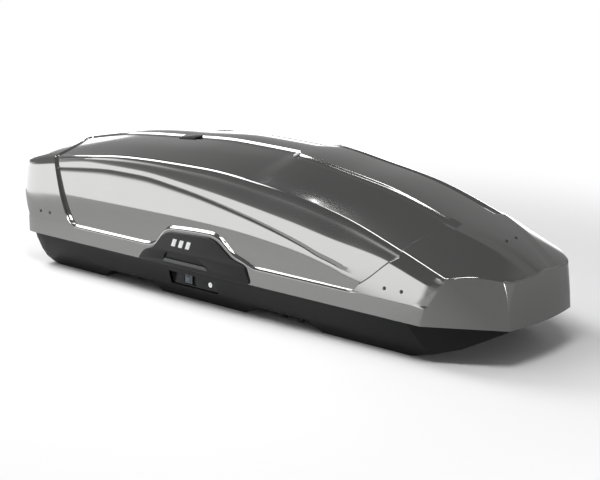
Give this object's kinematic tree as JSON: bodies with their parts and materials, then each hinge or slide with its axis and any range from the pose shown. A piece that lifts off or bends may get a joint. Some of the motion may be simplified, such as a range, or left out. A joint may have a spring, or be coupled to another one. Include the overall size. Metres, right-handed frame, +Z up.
{
  "type": "roof cargo box",
  "caption": "Hard-shell roof cargo box with a dual-side opening lid, side handles with locks, and quick clamps that grip roof-rack crossbars.",
  "frame": {"origin": "under the middle of the closed box, on the plane of the base pods", "axes": "+X towards the nose, +Y to the left side, +Z up"},
  "size_m": [1.8898, 0.671, 0.4924],
  "materials": {
    "lid_skin": "glossy titan-grey metallic skin",
    "tray_plastic": "black vacuum-formed plastic with a fine grain",
    "black_trim": "satin black moulded plastic",
    "slider_plastic": "blue-grey moulded plastic",
    "pad_rubber": "matte rubber",
    "rivet_black": "black rivet caps",
    "key_chrome": "polished key barrel",
    "claw_coating": "black rubber-coated jaws",
    "zinc_steel": "zinc-plated pressed steel"
  },
  "bodies": {
    "base": {"tray_tail": "tray_plastic", "tray_rear_channel": "tray_plastic", "tray_middle": "tray_plastic", "tray_front_channel": "tray_plastic", "tray_nose": "tray_plastic", "rail_bolts": "zinc_steel", "bar_pads": "pad_rubber", "base_rail_left": "zinc_steel", "base_rail_right": "zinc_steel", "lock_housing_left": "black_trim", "lock_bezel_left": "black_trim", "latch_guides_left": "zinc_steel", "lock_housing_right": "black_trim", "lock_bezel_right": "black_trim", "latch_guides_right": "zinc_steel", "lift_spindles_left": "zinc_steel", "lift_springs_left": "zinc_steel"},
    "right_pivots": {"lift_spindles_right": "zinc_steel", "lift_springs_right": "zinc_steel"},
    "lid": {"lid_shell": "lid_skin", "side_rivets": "rivet_black", "roof_rivets": "rivet_black", "lid_beam_front": "zinc_steel", "lid_beam_rear": "zinc_steel", "hinge_eyes_left": "zinc_steel", "hinge_eyes_right": "zinc_steel", "handle_plate_left": "black_trim", "handle_plate_right": "black_trim"},
    "lifter_left_front": {"lift_arm_left_front": "zinc_steel"},
    "lifter_right_front": {"lift_arm_right_front": "zinc_steel"},
    "lifter_left_rear": {"lift_arm_left_rear": "zinc_steel"},
    "lifter_right_rear": {"lift_arm_right_rear": "zinc_steel"},
    "latch_left": {"latch_bar_left": "zinc_steel", "lock_slider_left": "slider_plastic"},
    "key_barrel_left": {"lock_cylinder_left": "key_chrome"},
    "latch_right": {"latch_bar_right": "zinc_steel", "lock_slider_right": "slider_plastic"},
    "key_barrel_right": {"lock_cylinder_right": "key_chrome"},
    "carriage_rear_left": {"clamp_carriage_rear_left": "zinc_steel"},
    "knob_rear_left": {"clamp_knob_rear_left": "black_trim", "clamp_screw_rear_left": "zinc_steel"},
    "jaw_fore_rear_left": {"claw_fore_rear_left": "claw_coating"},
    "jaw_aft_rear_left": {"claw_aft_rear_left": "claw_coating"},
    "carriage_rear_right": {"clamp_carriage_rear_right": "zinc_steel"},
    "knob_rear_right": {"clamp_knob_rear_right": "black_trim", "clamp_screw_rear_right": "zinc_steel"},
    "jaw_fore_rear_right": {"claw_fore_rear_right": "claw_coating"},
    "jaw_aft_rear_right": {"claw_aft_rear_right": "claw_coating"},
    "carriage_front_left": {"clamp_carriage_front_left": "zinc_steel"},
    "knob_front_left": {"clamp_knob_front_left": "black_trim", "clamp_screw_front_left": "zinc_steel"},
    "jaw_fore_front_left": {"claw_fore_front_left": "claw_coating"},
    "jaw_aft_front_left": {"claw_aft_front_left": "claw_coating"},
    "carriage_front_right": {"clamp_carriage_front_right": "zinc_steel"},
    "knob_front_right": {"clamp_knob_front_right": "black_trim", "clamp_screw_front_right": "zinc_steel"},
    "jaw_fore_front_right": {"claw_fore_front_right": "claw_coating"},
    "jaw_aft_front_right": {"claw_aft_front_right": "claw_coating"}
  },
  "joints": [
    {"name": "open_from_right", "type": "hinge", "parent": "base", "child": "right_pivots", "pos_m": [0, 0.281, 0.118], "axis": [-0.9994, 0.0355, 0], "range_deg": [0, 50]},
    {"name": "open_from_left", "type": "hinge", "parent": "right_pivots", "child": "lid", "pos_m": [0, -0.281, 0.118], "axis": [0.9994, 0.0355, 0], "range_deg": [0, 50]},
    {"name": "lift_left_front", "type": "hinge", "parent": "base", "child": "lifter_left_front", "pos_m": [0, 0.281, 0.118], "axis": [-0.9994, 0.0355, 0], "range_deg": [0, 50.5]},
    {"name": "lift_right_front", "type": "hinge", "parent": "right_pivots", "child": "lifter_right_front", "pos_m": [0, -0.281, 0.118], "axis": [0.9994, 0.0355, 0], "range_deg": [0, 50.5]},
    {"name": "lift_left_rear", "type": "hinge", "parent": "base", "child": "lifter_left_rear", "pos_m": [0, 0.281, 0.118], "axis": [-0.9994, 0.0355, 0], "range_deg": [0, 50.5]},
    {"name": "lift_right_rear", "type": "hinge", "parent": "right_pivots", "child": "lifter_right_rear", "pos_m": [0, -0.281, 0.118], "axis": [0.9994, 0.0355, 0], "range_deg": [0, 50.5]},
    {"name": "latch_slide_left", "type": "slide", "parent": "base", "child": "latch_left", "axis": [0.9994, -0.0355, 0], "range_m": [0, 0.018]},
    {"name": "key_turn_left", "type": "hinge", "parent": "base", "child": "key_barrel_left", "pos_m": [-0.09994, 0.28455, 0.068], "axis": [0.0355, 0.9994, 0], "range_deg": [0, 90]},
    {"name": "latch_slide_right", "type": "slide", "parent": "base", "child": "latch_right", "axis": [0.9994, 0.0355, 0], "range_m": [0, 0.018]},
    {"name": "key_turn_right", "type": "hinge", "parent": "base", "child": "key_barrel_right", "pos_m": [-0.09994, -0.28455, 0.068], "axis": [0.0355, -0.9994, 0], "range_deg": [0, 90]},
    {"name": "carriage_slide_rear_left", "type": "slide", "parent": "base", "child": "carriage_rear_left", "axis": [1, 0, 0], "range_m": [-0.02, 0.02]},
    {"name": "knob_turn_rear_left", "type": "hinge", "parent": "carriage_rear_left", "child": "knob_rear_left", "pos_m": [-0.453, 0.212, 0.085], "axis": [0, 0, 1], "range_deg": [0, 720]},
    {"name": "jaw_swing_fore_rear_left", "type": "hinge", "parent": "carriage_rear_left", "child": "jaw_fore_rear_left", "pos_m": [-0.431, 0.212, 0.054], "axis": [0, -1, 0], "range_deg": [0, 25.5]},
    {"name": "jaw_swing_aft_rear_left", "type": "hinge", "parent": "carriage_rear_left", "child": "jaw_aft_rear_left", "pos_m": [-0.475, 0.212, 0.054], "axis": [0, 1, 0], "range_deg": [0, 25.5]},
    {"name": "carriage_slide_rear_right", "type": "slide", "parent": "base", "child": "carriage_rear_right", "axis": [1, 0, 0], "range_m": [-0.02, 0.02]},
    {"name": "knob_turn_rear_right", "type": "hinge", "parent": "carriage_rear_right", "child": "knob_rear_right", "pos_m": [-0.453, -0.212, 0.085], "axis": [0, 0, 1], "range_deg": [0, 720]},
    {"name": "jaw_swing_fore_rear_right", "type": "hinge", "parent": "carriage_rear_right", "child": "jaw_fore_rear_right", "pos_m": [-0.431, -0.212, 0.054], "axis": [0, -1, 0], "range_deg": [0, 25.5]},
    {"name": "jaw_swing_aft_rear_right", "type": "hinge", "parent": "carriage_rear_right", "child": "jaw_aft_rear_right", "pos_m": [-0.475, -0.212, 0.054], "axis": [0, 1, 0], "range_deg": [0, 25.5]},
    {"name": "carriage_slide_front_left", "type": "slide", "parent": "base", "child": "carriage_front_left", "axis": [1, 0, 0], "range_m": [-0.02, 0.02]},
    {"name": "knob_turn_front_left", "type": "hinge", "parent": "carriage_front_left", "child": "knob_front_left", "pos_m": [0.192, 0.212, 0.085], "axis": [0, 0, 1], "range_deg": [0, 720]},
    {"name": "jaw_swing_fore_front_left", "type": "hinge", "parent": "carriage_front_left", "child": "jaw_fore_front_left", "pos_m": [0.214, 0.212, 0.054], "axis": [0, -1, 0], "range_deg": [0, 25.5]},
    {"name": "jaw_swing_aft_front_left", "type": "hinge", "parent": "carriage_front_left", "child": "jaw_aft_front_left", "pos_m": [0.17, 0.212, 0.054], "axis": [0, 1, 0], "range_deg": [0, 25.5]},
    {"name": "carriage_slide_front_right", "type": "slide", "parent": "base", "child": "carriage_front_right", "axis": [1, 0, 0], "range_m": [-0.02, 0.02]},
    {"name": "knob_turn_front_right", "type": "hinge", "parent": "carriage_front_right", "child": "knob_front_right", "pos_m": [0.192, -0.212, 0.085], "axis": [0, 0, 1], "range_deg": [0, 720]},
    {"name": "jaw_swing_fore_front_right", "type": "hinge", "parent": "carriage_front_right", "child": "jaw_fore_front_right", "pos_m": [0.214, -0.212, 0.054], "axis": [0, -1, 0], "range_deg": [0, 25.5]},
    {"name": "jaw_swing_aft_front_right", "type": "hinge", "parent": "carriage_front_right", "child": "jaw_aft_front_right", "pos_m": [0.17, -0.212, 0.054], "axis": [0, 1, 0], "range_deg": [0, 25.5]}
  ],
  "couplings": [
    {"joint": "lift_left_front", "follows": "open_from_right", "ratio": 1},
    {"joint": "lift_right_front", "follows": "open_from_left", "ratio": 1},
    {"joint": "lift_left_rear", "follows": "open_from_right", "ratio": 1},
    {"joint": "lift_right_rear", "follows": "open_from_left", "ratio": 1},
    {"joint": "jaw_swing_fore_rear_left", "follows": "knob_turn_rear_left", "ratio": 0.034722},
    {"joint": "jaw_swing_aft_rear_left", "follows": "knob_turn_rear_left", "ratio": 0.034722},
    {"joint": "jaw_swing_fore_rear_right", "follows": "knob_turn_rear_right", "ratio": 0.034722},
    {"joint": "jaw_swing_aft_rear_right", "follows": "knob_turn_rear_right", "ratio": 0.034722},
    {"joint": "jaw_swing_fore_front_left", "follows": "knob_turn_front_left", "ratio": 0.034722},
    {"joint": "jaw_swing_aft_front_left", "follows": "knob_turn_front_left", "ratio": 0.034722},
    {"joint": "jaw_swing_fore_front_right", "follows": "knob_turn_front_right", "ratio": 0.034722},
    {"joint": "jaw_swing_aft_front_right", "follows": "knob_turn_front_right", "ratio": 0.034722}
  ]
}
